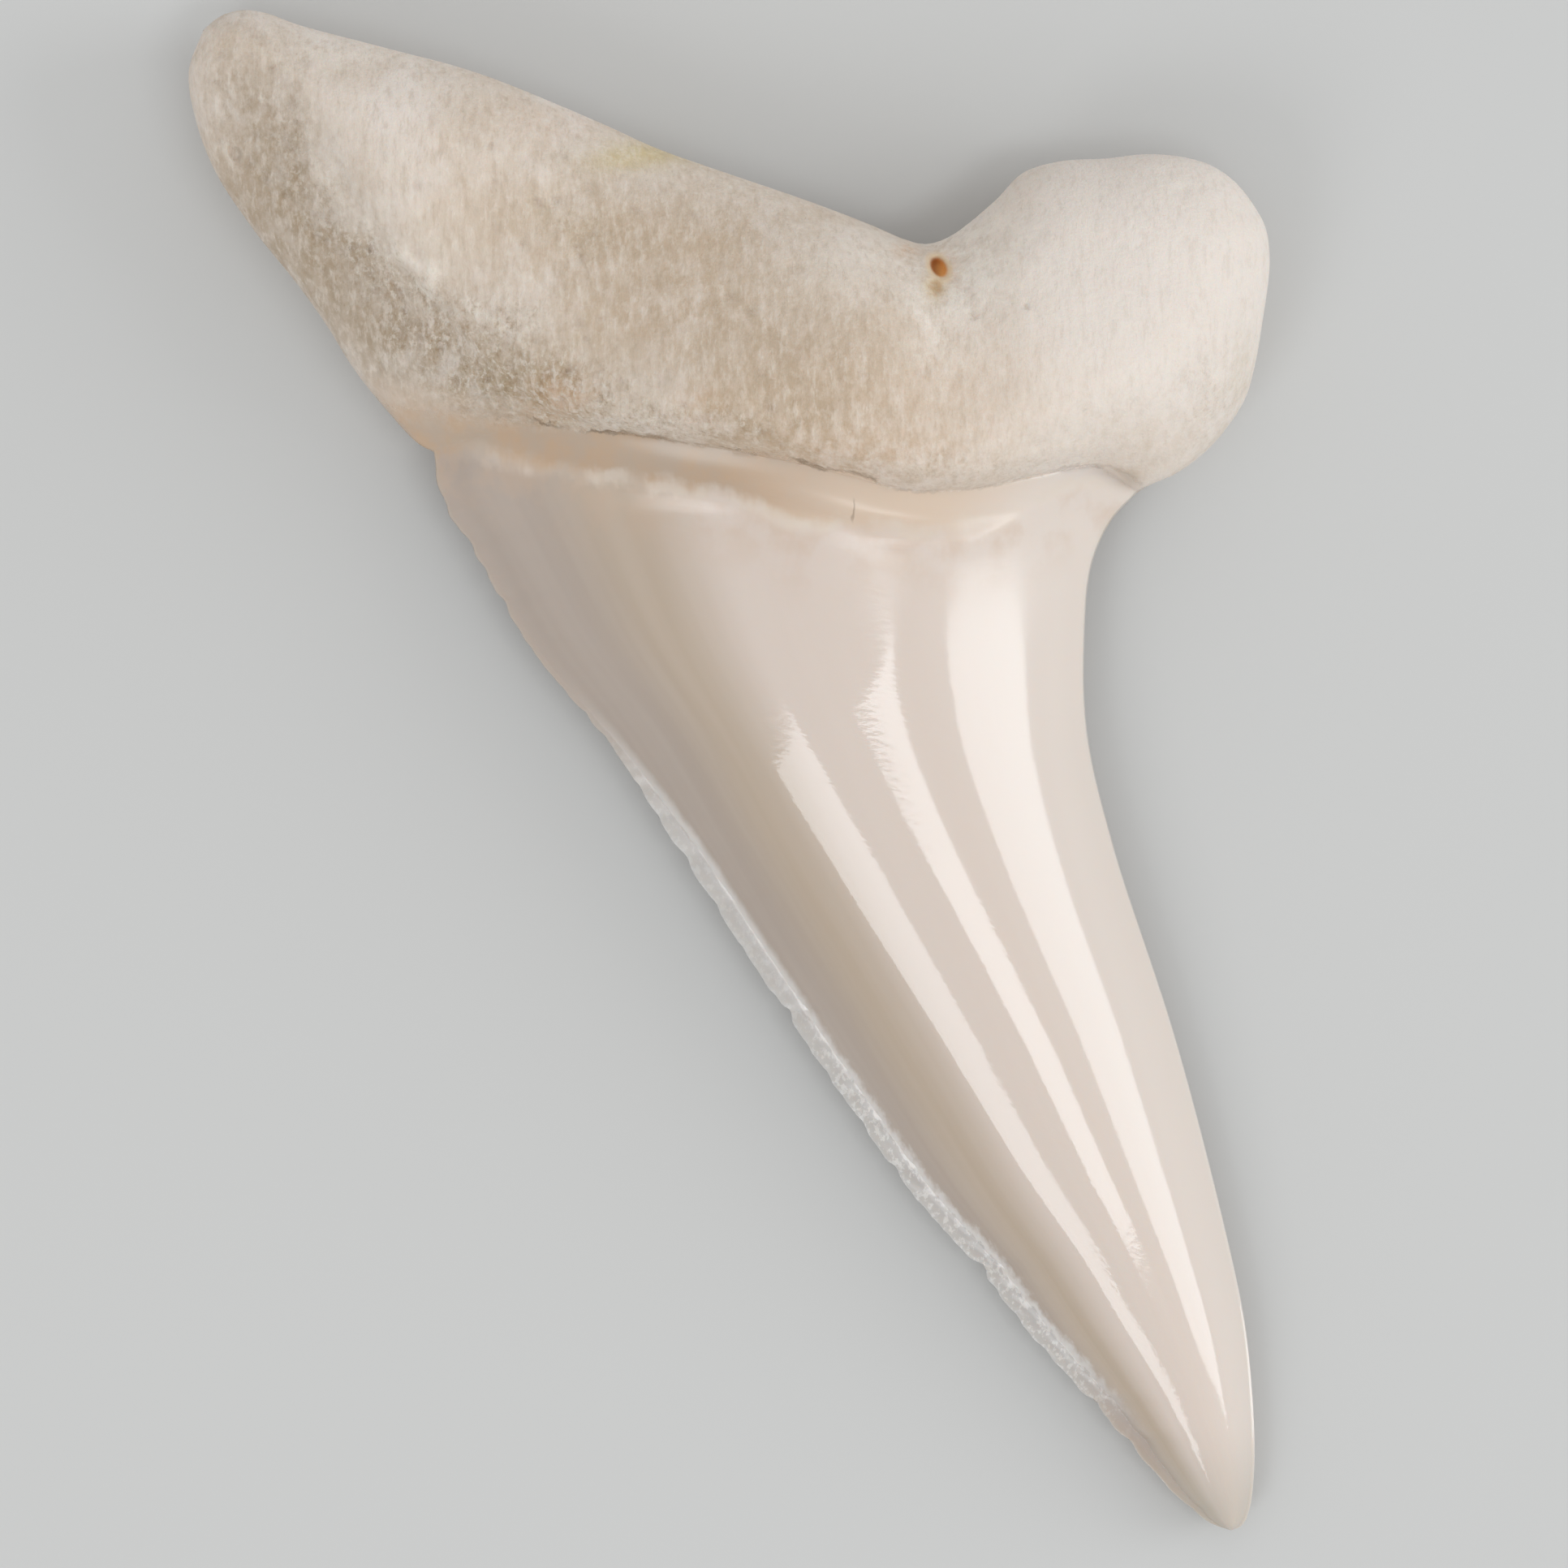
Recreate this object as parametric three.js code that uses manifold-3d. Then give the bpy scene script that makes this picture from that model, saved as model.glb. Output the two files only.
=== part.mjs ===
// Fossil mako shark tooth, lying on its flat labial face with the domed lingual face up.
// Root and crown grew as one piece, so the tooth is one solid. Millimetres, +Z up, the crown's
// tip towards -Y and the long root lobe towards -X. The origin is the centre of the footprint.
import * as THREE from 'three';
import { LoftGeometry } from 'three/addons/geometries/LoftGeometry.js';
import { mergeVertices } from 'three/addons/utils/BufferGeometryUtils.js';
import Module from 'manifold-3d';

const wasm = await Module();
wasm.setup();

// The outline seen from above, as [x, y] points that the edges pass through.
const TIP = [17.7, -26.7];
const NECK_LEFT = [-10.35, 11.25];
const NECK_RIGHT = [14.3, 9.8];
const LEFT_LOBE_END = [-18.4, 26.0];
const RIGHT_LOBE_END = [18.3, 20.0];

// The front cutting edge is long and nearly straight, and swings out to a shoulder at the neck.
const LEFT_CUTTING_EDGE = [
  TIP, [16.9, -26.4], [15.8, -25.5], [14.0, -23.5], [12.0, -21.3], [10.5, -19.6], [9.0, -17.7],
  [6.2, -14.5], [3.8, -11.1], [0.3, -5.9], [-1.9, -2.5], [-4.1, 0.9], [-6.9, 4.3], [-9.0, 7.8],
  [-10.1, 9.7], NECK_LEFT,
];
// The back cutting edge is hollow below the neck and bellies out towards the tip.
const RIGHT_CUTTING_EDGE = [
  TIP, [18.1, -26.5], [18.35, -25.9], [18.5, -24.6], [18.5, -23.0], [18.2, -19.6], [17.5, -16.2],
  [15.7, -9.3], [13.5, -2.5], [12.6, 1.4], [12.5, 4.8], [12.75, 7.3], [13.4, 8.8], NECK_RIGHT,
];
// The foot of the root's ledge over the crown, from shoulder to shoulder.
const NECK = [
  NECK_LEFT, [-8.6, 11.75], [-6.3, 12.0], [-3.9, 11.7], [-0.5, 11.2], [2.9, 10.5], [5.2, 9.9],
  [6.6, 9.7], [8.3, 9.75], [11.0, 10.35], [12.9, 10.6], NECK_RIGHT,
];
const ROOT_LEFT_SIDE = [
  NECK_LEFT, [-10.9, 11.55], [-11.9, 12.6], [-13.1, 14.1], [-14.1, 15.7], [-15.1, 17.1],
  [-16.7, 19.1], [-18.0, 21.1], [-18.7, 23.0], [-18.9, 24.6], LEFT_LOBE_END,
];
const ROOT_RIGHT_SIDE = [
  NECK_RIGHT, [14.8, 10.1], [15.7, 10.5], [16.6, 11.15], [17.4, 12.0], [18.1, 13.1], [18.4, 14.1],
  [18.7, 15.8], [18.95, 17.9], [18.8, 19.1], RIGHT_LOBE_END,
];
// The basal edge of the root: long lobe, notch, short lobe.
const ROOT_TOP = [
  LEFT_LOBE_END, [-17.75, 26.5], [-17.0, 26.7], [-16.2, 26.6], [-15.1, 26.2], [-11.9, 25.35],
  [-8.8, 24.5], [-4.6, 22.8], [-2.5, 21.85], [-0.4, 21.1], [2.8, 20.0], [4.9, 19.2], [6.2, 18.65],
  [6.9, 18.5], [7.7, 18.75], [9.3, 20.0], [10.3, 21.0], [11.6, 21.4], [13.2, 21.5], [14.6, 21.65],
  [15.9, 21.55], [16.9, 21.25], [17.7, 20.7], RIGHT_LOBE_END,
];

// The silhouette's height above the surface that the tooth lies on, as [y, z] stations.
const EDGE_LEVEL = [[-26.7, 1.2], [-10, 1.5], [9, 2.1], [15, 3.0], [27, 3.0]];

const CROWN_DOME = 5.5; // rise of the lingual face above the cutting edges, at the neck
const TIP_TAPER = 0.58; // how fast that rise grows from the tip, as a power of the length
const LINGUAL_ROUNDNESS = 2.2; // 2 is a round arch across the face, more is fuller at the sides
const LEFT_BEVEL = { width: 0.75, rise: 0.2 }; // thin see-through border of the front edge
const RIGHT_BEVEL_WIDTH = 0.35;
const LARGEST_BEVEL_SHARE = 0.12; // of the crown's width, for the narrow rows near the tip
const LABIAL_FLAT = 0.35; // share of the crown's width that lies flat
const LABIAL_ROUNDNESS = 2.4;
const LABIAL_TIP_LENGTH = 5; // the tip turns up from the surface over this length

// The front edge's worn serration, and its larger nicks as distance from the tip and depth.
const SERRATIONS = 31;
const SERRATION_SWING = 0.12;
const NICKS = [
  { at: 6.7, depth: 0.14 }, { at: 12.9, depth: 0.22 }, { at: 17.6, depth: 0.14 },
  { at: 24.2, depth: 0.2 }, { at: 41.9, depth: 0.12 }, { at: 44.2, depth: 0.14 },
];
const NICK_WIDTH = 0.55;
const EDGE_FADE = { tip: 5, neck: 1.5 }; // the serration dies away over these lengths

// The soft band of the neck below the ledge: a shallow groove, then the lip of the enamel.
const NECK_BAND = { left: 1.6, right: 0.5, from: 8, to: 13.5, groove: 0.22 };
const ENAMEL_LIP = { rise: 0.12, width: 0.35, below: 0.25 };

// Swellings and hollows of the root's lingual face above a slab of this height.
const ROOT_SLAB = 5.4;
const ROOT_SWELLINGS = [
  { x: 3.5, y: 12.6, across: 8.2, up: 5.2, rise: 5.2 }, // the protuberance over the crown
  { x: 14.5, y: 15.5, across: 4.0, up: 4.5, rise: 1.0 }, // short lobe
  { x: -11.5, y: 21.0, across: 4.5, up: 3.5, rise: 1.7 }, // long lobe
  { x: 7.4, y: 18.0, across: 1.7, up: 4.0, rise: -0.9 }, // valley under the notch
];
// Where the raised root begins: over the neck, and then up along the long lobe.
const LEDGE = [
  [-18.9, 29.0], [-15.4, 24.6], [-14.0, 22.3], [-12.9, 20.0], [-11.3, 17.6], [-9.6, 15.6],
  [-7.9, 13.8], [-6.2, 12.5], [-3.9, 11.75], [-0.5, 11.25], [2.9, 10.55], [5.2, 9.95], [6.6, 9.75],
  [8.3, 9.8], [11.0, 10.4], [12.9, 10.7], [14.3, 9.9], [16.0, 8.0], [19.0, 6.0],
];
const LEDGE_WIDTH = [[-16, 3.6], [-9.6, 2.8], [-5, 1.8], [0, 1.6], [10, 2.2], [20, 2.2]];
const SHELF = { rise: 1.1, rounding: 1.3, fadeIn: 0.15 }; // thin flange of root below that ledge

const ROOT_ROUNDING = 2.9; // width of the rounded border of the lingual face
const SHOULDER_ROUNDING = 6.0; // the same, where the root thins towards the crown's shoulders
const LABIAL_ROUNDING = 1.9;
const LABIAL_HOLLOW = 0.5; // the root's labial face clears the surface between its two flats
const LABIAL_SWELLINGS = [
  { x: 3, y: 15, across: 5, up: 3.5, rise: 0.6 }, // arch between the lobes
  { x: -13.2, y: 21.3, across: 3.6, up: 3.4, rise: -0.75 }, // long lobe's resting flat
  { x: 14.8, y: 15.6, across: 3.2, up: 3.4, rise: -0.75 }, // short lobe's resting flat
];
const LABIAL_STEP = 0.14; // share of the root's height over which its labial face draws back

// Nutrient openings in the root under the notch, from above.
const FORAMINA = [
  { x: 7.25, y: 17.5, radius: 0.33, depth: 0.9 },
  { x: 7.12, y: 16.6, radius: 0.3, depth: 0.35 },
];

const COLUMNS = 26; // facets across each face
const ROOT_ROWS = 28;
const CROWN_ROWS = 2 * SERRATIONS; // a row on each serration's notch and one on its crest

const clamp = (t, low = 0, high = 1) => Math.min(high, Math.max(low, t));
const mix = (a, b, t) => a + (b - a) * t;
const smoothstep = (low, high, t) => THREE.MathUtils.smoothstep(t, low, high);
const quarterRound = (t) => Math.sqrt(1 - (1 - clamp(t)) ** 2);

const curveThrough = (points) =>
  new THREE.CatmullRomCurve3(points.map(([x, y]) => new THREE.Vector3(x, y, 0)));

const leftEdge = curveThrough(LEFT_CUTTING_EDGE);
const rightEdge = curveThrough(RIGHT_CUTTING_EDGE);
const neck = curveThrough(NECK);
const rootLeft = curveThrough(ROOT_LEFT_SIDE);
const rootRight = curveThrough(ROOT_RIGHT_SIDE);
const rootTop = curveThrough(ROOT_TOP);

// Linear lookup in a list of [position, value] stations.
function along(stations, position) {
  const next = stations.findIndex(([p]) => p > position);
  if (next === 0) return stations[0][1];
  if (next < 0) return stations.at(-1)[1];
  const [p0, v0] = stations[next - 1];
  const [p1, v1] = stations[next];
  return mix(v0, v1, (position - p0) / (p1 - p0));
}

// A sum of soft round swellings.
function swell(swellings, x, y) {
  return swellings.reduce((sum, s) => {
    const reach = ((x - s.x) / s.across) ** 2 + ((y - s.y) / s.up) ** 2;
    return sum + s.rise * Math.exp(-reach / 2);
  }, 0);
}

// The root's rim as short straight stretches, for the distance from a point to the silhouette.
const rootRim = [rootLeft, rootTop, rootRight].flatMap((curve) => {
  const points = curve.getSpacedPoints(60);
  return points.slice(1).map((point, i) => new THREE.Line3(points[i], point));
});

function distanceToRim(point) {
  const nearest = new THREE.Vector3();
  const distances = rootRim.map((line) => {
    line.closestPointToPoint(point, true, nearest);
    return nearest.distanceTo(point);
  });
  return Math.min(...distances);
}

// How far the worn front edge stands inside its mean line, at a distance from the tip.
function edgeWear(distance, length) {
  const phase = (distance / length) * SERRATIONS;
  const notch = 1 - 2 * Math.abs(Math.sin(Math.PI * phase));
  const strength = 0.65 + 0.35 * Math.sin(phase * 2.4);
  const fade = smoothstep(0, EDGE_FADE.tip, distance) * smoothstep(0, EDGE_FADE.neck, length - distance);
  const nicks = NICKS.map((nick) => nick.depth * Math.exp(-(((distance - nick.at) / NICK_WIDTH) ** 2)));
  return (SERRATION_SWING / 2) * strength * notch * fade + nicks.reduce((a, b) => a + b, 0);
}

// A point of a row in plan. Rows run from the left silhouette to the right one.
// Crown rows are nearly straight and take the neck's bow as they near it.
function crownPlan(u, v) {
  const start = leftEdge.getPointAt(v);
  const end = rightEdge.getPointAt(v);
  const neckStart = neck.getPointAt(0);
  const neckEnd = neck.getPointAt(1);
  const bow = neck.getPointAt(u).sub(neckStart.lerp(neckEnd, u)).multiplyScalar(v ** 3);
  const point = start.clone().lerp(end, u).add(bow);
  const length = leftEdge.getLength();
  const width = start.distanceTo(end);
  const inward = leftEdge.getTangentAt(clamp(v, 0.001, 0.999));
  const wear = edgeWear(v * length, length) * Math.exp(-u * width);
  return point.add(new THREE.Vector3(inward.y, -inward.x, 0).multiplyScalar(wear));
}

// Root rows pass from the neck to the basal edge, held by the root's two sides.
function rootPlan(u, w) {
  const low = neck.getPointAt(u);
  const high = rootTop.getPointAt(u);
  const left = rootLeft.getPointAt(w);
  const right = rootRight.getPointAt(w);
  const between = low.clone().lerp(high, w);
  const sides = left.clone().lerp(right, u);
  const cornersLeft = neck.getPointAt(0).lerp(rootTop.getPointAt(0), w);
  const cornersRight = neck.getPointAt(1).lerp(rootTop.getPointAt(1), w);
  return between.add(sides).sub(cornersLeft.lerp(cornersRight, u));
}

// The lens of the crown across a row, 0 at the cutting edges and 1 on the crest.
function crownLens(u, width) {
  const leftBand = Math.min(LEFT_BEVEL.width, LARGEST_BEVEL_SHARE * width);
  const rightBand = Math.min(RIGHT_BEVEL_WIDTH, LARGEST_BEVEL_SHARE * width);
  const share = clamp((u * width - leftBand) / (width - leftBand - rightBand));
  const border = Math.min(1, (u * width) / leftBand, ((1 - u) * width) / rightBand);
  return { lens: 1 - Math.abs(2 * share - 1) ** LINGUAL_ROUNDNESS, border };
}

// Height of the neck's groove and of the enamel's lip, at a distance below the ledge.
function neckRelief(x, below) {
  const band = mix(NECK_BAND.left, NECK_BAND.right, smoothstep(NECK_BAND.from, NECK_BAND.to, x));
  const groove = Math.sin(Math.PI * clamp(below / band));
  const lip = Math.exp(-(((below - band - ENAMEL_LIP.below) / ENAMEL_LIP.width) ** 2));
  return ENAMEL_LIP.rise * lip - NECK_BAND.groove * groove;
}

const ledgeLine = (x) => along(LEDGE, x);
const ledgeSlope = (x) => (ledgeLine(x + 0.4) - ledgeLine(x - 0.4)) / 0.8;

// The distance at a place in the rows, exactly zero on the rim itself.
const rimDistance = (u, w, point) => (u <= 0 || u >= 1 || w <= 0 || w >= 1 ? 0 : distanceToRim(point));

function lingualHeight(u, v, w, width, point) {
  const level = along(EDGE_LEVEL, point.y);
  const { lens, border } = crownLens(u, width);
  const tipRound = v ** TIP_TAPER;
  const fromRim = rimDistance(u, w, point);
  const distance = (point.y - ledgeLine(point.x)) / Math.hypot(1, ledgeSlope(point.x));
  const neckShare = lens ** 0.5 * smoothstep(0.8, 0.97, v);
  const shelf = SHELF.rise * smoothstep(0, SHELF.fadeIn, w) * quarterRound(fromRim / SHELF.rounding);
  const crown = level + LEFT_BEVEL.rise * border * tipRound + CROWN_DOME * tipRound * lens
    + neckRelief(point.x, Math.max(0, -distance)) * neckShare + shelf;
  if (w <= 0) return crown;
  const rounding = mix(SHOULDER_ROUNDING, ROOT_ROUNDING, smoothstep(0.1, 0.6, w));
  const top = ROOT_SLAB + swell(ROOT_SWELLINGS, point.x, point.y);
  const root = level + (top - level) * quarterRound(fromRim / rounding);
  const ledge = quarterRound(distance / along(LEDGE_WIDTH, point.x));
  return mix(Math.min(crown, root), root, ledge);
}

function labialHeight(u, v, w, width, point) {
  const level = along(EDGE_LEVEL, point.y);
  const tipRound = quarterRound((v * leftEdge.getLength()) / LABIAL_TIP_LENGTH);
  const flat = LABIAL_FLAT ** LABIAL_ROUNDNESS;
  const across = Math.abs(2 * u - 1) ** LABIAL_ROUNDNESS;
  const crown = mix(level, level * Math.max(0, (across - flat) / (1 - flat)), tipRound);
  if (w <= 0) return crown;
  const rounding = mix(LABIAL_ROUNDING / 3, LABIAL_ROUNDING, smoothstep(0, 0.35, w));
  const base = Math.max(0, LABIAL_HOLLOW + swell(LABIAL_SWELLINGS, point.x, point.y));
  const root = mix(level, base, quarterRound(rimDistance(u, w, point) / rounding));
  return mix(crown, root, smoothstep(0, LABIAL_STEP, w));
}

// Columns crowd a little towards the silhouette, and rows at the ledge and the basal edge.
const crowded = (t, share) => mix(t, (1 - Math.cos(Math.PI * t)) / 2, share);
const columnShare = (t) => crowded(t, 0.45);
const rootShare = (t) => crowded(t, 0.8);

// One closed ring of the skin: over the lingual face, then back under the labial face.
function ring(v, w) {
  const plan = (u) => (w > 0 ? rootPlan(u, w) : crownPlan(u, v));
  const width = Math.max(plan(0).distanceTo(plan(1)), 0.01);
  const shares = Array.from({ length: COLUMNS + 1 }, (_, i) => columnShare(i / COLUMNS));
  const raised = (height) => (u) => {
    const point = plan(u);
    return point.setZ(height(u, v, w, width, point));
  };
  const over = shares.map(raised(lingualHeight));
  const under = shares.slice(1, -1).reverse().map(raised(labialHeight));
  return [...over, ...under];
}

// A closed mesh as a solid, with its shared vertices merged and collapsed faces left out.
function solidFrom(geometry) {
  const bare = new THREE.BufferGeometry();
  bare.setAttribute('position', geometry.getAttribute('position'));
  bare.setIndex(geometry.getIndex());
  const merged = mergeVertices(bare, 1e-4);
  const index = merged.getIndex().array;
  const faces = [];
  for (let i = 0; i < index.length; i += 3) {
    const [a, b, c] = index.slice(i, i + 3);
    if (a !== b && b !== c && c !== a) faces.push(a, b, c);
  }
  return new wasm.Manifold(new wasm.Mesh({
    numProp: 3,
    vertProperties: merged.getAttribute('position').array,
    triVerts: new Uint32Array(faces),
  }));
}

function geometryFrom(solid) {
  const mesh = solid.getMesh();
  const geometry = new THREE.BufferGeometry();
  geometry.setAttribute('position', new THREE.BufferAttribute(mesh.vertProperties, 3));
  geometry.setIndex(new THREE.BufferAttribute(mesh.triVerts, 1));
  geometry.computeVertexNormals();
  return geometry;
}

function toothSkin() {
  const rings = [];
  for (let row = 0; row <= CROWN_ROWS; row++) rings.push(ring(row / CROWN_ROWS, 0));
  for (let row = 1; row <= ROOT_ROWS; row++) rings.push(ring(1, rootShare(row / ROOT_ROWS)));
  return new LoftGeometry(rings);
}

// A small egg-shaped pit, sunk into the root from above.
function foramen({ x, y, radius, depth }) {
  const point = new THREE.Vector3(x, y, 0);
  const level = along(EDGE_LEVEL, y);
  const top = ROOT_SLAB + swell(ROOT_SWELLINGS, x, y);
  const surface = level + (top - level) * quarterRound(distanceToRim(point) / ROOT_ROUNDING);
  const pit = new THREE.SphereGeometry(1, 12, 8);
  pit.scale(radius, radius * 1.25, depth);
  pit.translate(x, y, surface);
  return solidFrom(pit);
}

function makeTooth() {
  const whole = FORAMINA.reduce((tooth, pit) => tooth.subtract(foramen(pit)), solidFrom(toothSkin()));
  const ivory = new THREE.MeshStandardMaterial({ color: 0xe3d8cc, roughness: 0.45, metalness: 0 });
  const mesh = new THREE.Mesh(geometryFrom(whole), ivory);
  mesh.name = 'tooth';
  return mesh;
}

const group = new THREE.Group();
group.add(makeTooth());
export default group;
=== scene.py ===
# Fossil mako shark tooth, lying on its flat labial face with the domed lingual face up:
# a chalky root with two unequal lobes, and a glossy ivory crown with a thin worn front edge.
# Sizes are in millimetres and become metres when a vertex is placed.
import bisect
import math
import random
from functools import lru_cache

import bmesh
import bpy
from mathutils import Matrix, Vector, noise
from mathutils.kdtree import KDTree


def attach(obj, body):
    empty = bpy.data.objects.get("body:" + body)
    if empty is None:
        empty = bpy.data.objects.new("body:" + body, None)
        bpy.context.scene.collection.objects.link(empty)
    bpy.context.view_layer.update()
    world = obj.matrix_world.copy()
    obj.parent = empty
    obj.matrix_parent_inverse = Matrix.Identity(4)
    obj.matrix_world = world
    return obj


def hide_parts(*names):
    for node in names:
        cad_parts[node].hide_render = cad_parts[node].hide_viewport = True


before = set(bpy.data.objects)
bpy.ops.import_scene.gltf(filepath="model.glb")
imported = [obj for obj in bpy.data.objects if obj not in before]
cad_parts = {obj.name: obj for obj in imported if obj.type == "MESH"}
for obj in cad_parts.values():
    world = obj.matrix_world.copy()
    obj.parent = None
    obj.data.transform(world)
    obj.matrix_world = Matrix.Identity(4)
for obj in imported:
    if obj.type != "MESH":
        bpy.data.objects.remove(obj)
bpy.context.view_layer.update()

mm = 0.001

# outline seen from above, as points that each edge passes through
tip = (17.7, -26.7)
neckLeft = (-10.35, 11.25)
neckRight = (14.3, 9.8)
leftLobeEnd = (-18.4, 26.0)
rightLobeEnd = (18.3, 20.0)

outline = {
    "frontEdge": [
        tip, (16.9, -26.4), (15.8, -25.5), (14.0, -23.5), (12.0, -21.3), (10.5, -19.6),
        (9.0, -17.7), (6.2, -14.5), (3.8, -11.1), (0.3, -5.9), (-1.9, -2.5), (-4.1, 0.9),
        (-6.9, 4.3), (-9.0, 7.8), (-10.1, 9.7), neckLeft,
    ],
    "backEdge": [
        tip, (18.1, -26.5), (18.35, -25.9), (18.5, -24.6), (18.5, -23.0), (18.2, -19.6),
        (17.5, -16.2), (15.7, -9.3), (13.5, -2.5), (12.6, 1.4), (12.5, 4.8), (12.75, 7.3),
        (13.4, 8.8), neckRight,
    ],
    "neck": [
        neckLeft, (-8.6, 11.75), (-6.3, 12.0), (-3.9, 11.7), (-0.5, 11.2), (2.9, 10.5),
        (5.2, 9.9), (6.6, 9.7), (8.3, 9.75), (11.0, 10.35), (12.9, 10.6), neckRight,
    ],
    "rootLeft": [
        neckLeft, (-10.9, 11.55), (-11.9, 12.6), (-13.1, 14.1), (-14.1, 15.7), (-15.1, 17.1),
        (-16.7, 19.1), (-18.0, 21.1), (-18.7, 23.0), (-18.9, 24.6), leftLobeEnd,
    ],
    "rootRight": [
        neckRight, (14.8, 10.1), (15.7, 10.5), (16.6, 11.15), (17.4, 12.0), (18.1, 13.1),
        (18.4, 14.1), (18.7, 15.8), (18.95, 17.9), (18.8, 19.1), rightLobeEnd,
    ],
    "rootTop": [
        leftLobeEnd, (-17.75, 26.5), (-17.0, 26.7), (-16.2, 26.6), (-15.1, 26.2),
        (-11.9, 25.35), (-8.8, 24.5), (-4.6, 22.8), (-2.5, 21.85), (-0.4, 21.1), (2.8, 20.0),
        (4.9, 19.2), (6.2, 18.65), (6.9, 18.5), (7.7, 18.75), (9.3, 20.0), (10.3, 21.0),
        (11.6, 21.4), (13.2, 21.5), (14.6, 21.65), (15.9, 21.55), (16.9, 21.25), (17.7, 20.7),
        rightLobeEnd,
    ],
}
rimLevel = [(-26.7, 1.2), (-10, 1.5), (9, 2.1), (15, 3.0), (27, 3.0)]  # height of the rim by y

crown = {
    "dome": 5.5,             # rise of the lingual face at the neck
    "tipTaper": 0.58,        # power by which the dome falls off to the tip
    "lingualRoundness": 2.2,
    "frontBevel": 0.72,      # width of the thin see-through border
    "backBevel": 0.1,
    "neckBevelShare": 0.3,   # how much of the front border is left at the neck
    "bevelNarrows": (0.6, 0.8),  # where it narrows, as a share of the way from the tip
    "bevelRise": 0.2,
    "largestBevelShare": 0.12,
    "labialFlat": 0.35,
    "labialRoundness": 2.4,
    "labialTipLength": 5.0,
    "bevelLip": 0.03,        # fine ridge where the border meets the dome
    "bevelLipWidth": 0.16,
    "bevelReach": ((0.08, 0.2), (0.66, 0.8)),    # where it rises and where it fades
    "chips": 0.03,           # small chips beside the worn border near the tip
    "chipsFade": ((0.35, 0.5), (0.5, 0.9)),      # along the edge, and inward from it
    "flute": 0.012,          # soft lengthwise waves of the enamel
    "fluteReach": ((0.02, 0.2), (0.8, 0.98)),
    "crestShift": 1.14,      # how far the crest leans to the back edge near the tip
    "crestShiftFades": (0.25, 0.75),
    "ridges": [              # share across at the tip and at the neck, rise, half width
        (0.50, 0.21, 0.045, 0.6), (0.66, 0.53, 0.012, 0.6),
    ],
    "ridgeReach": ((0.05, 0.35), (0.6, 0.9)),
    "shoulder": {"across": 0.86, "rise": 0.12, "halfWidth": 1.6, "reach": (0.82, 0.94)},
    "flatSlope": 0.055,      # the dome levels off towards the neck
    "flatSoftness": 1.6,
    "flatStart": [(0.0, 0.62), (0.3, 0.71), (0.55, 0.785), (0.75, 0.87), (1.0, 0.93)],
}

frontWear = {
    "serrations": 31,
    "swing": 0.08,
    "wander": 0.6,           # how irregular their spacing is
    "tipFade": 5,            # lengths over which the wear sets in
    "neckFade": 1.5,
    "chipping": 0.05,
    "nickWidth": 0.3,
    "nicks": [               # distance from the tip, depth
        (1.6, 0.06), (4.9, 0.08), (6.7, 0.14), (12.9, 0.24), (17.6, 0.14), (19.6, 0.1),
        (24.2, 0.2), (28.8, 0.1), (30.8, 0.1), (41.8, 0.09), (43.2, 0.06), (44.1, 0.11),
        (45.8, 0.08),
    ],
}

root = {
    "slab": 5.4,
    "swellings": [           # x, y, reach across, reach up, rise
        (3.5, 12.6, 8.2, 5.2, 5.2),
        (14.5, 15.5, 4.0, 4.5, 1.0),
        (-11.5, 21.0, 4.5, 3.5, 1.7),
        (7.4, 18.0, 1.7, 4.0, -0.9),
    ],
    "ledge": [               # where the raised root begins, by x
        (-18.9, 29.0), (-15.4, 24.6), (-14.0, 22.3), (-12.9, 20.0), (-11.3, 17.6), (-9.6, 15.6),
        (-7.9, 13.8), (-6.2, 12.5), (-3.9, 11.75), (-0.5, 11.25), (2.9, 10.55), (5.2, 9.95),
        (6.6, 9.75), (8.3, 9.8), (11.0, 10.4), (12.9, 10.7), (14.3, 9.9), (16.0, 8.0), (19.0, 6.0),
    ],
    "ledgeWidth": [(-16, 3.6), (-9.6, 2.8), (-5, 1.8), (0, 1.6), (10, 2.2), (20, 2.2)],
    "shelf": 1.1,
    "shelfRounding": 1.3,
    "rounding": 2.9,
    "shoulderRounding": 6.0,
    "labialRounding": 1.9,
    "labialHollow": 0.5,
    "labialSwellings": [
        (3.0, 15.0, 5.0, 3.5, 0.6), (-13.2, 21.3, 3.6, 3.4, -0.75), (14.8, 15.6, 3.2, 3.4, -0.75),
    ],
    "labialStep": 0.14,
    "labialRoughness": 0.25,
    "labialRelief": 0.6,     # share of the relief that the lingual face has
}

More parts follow.
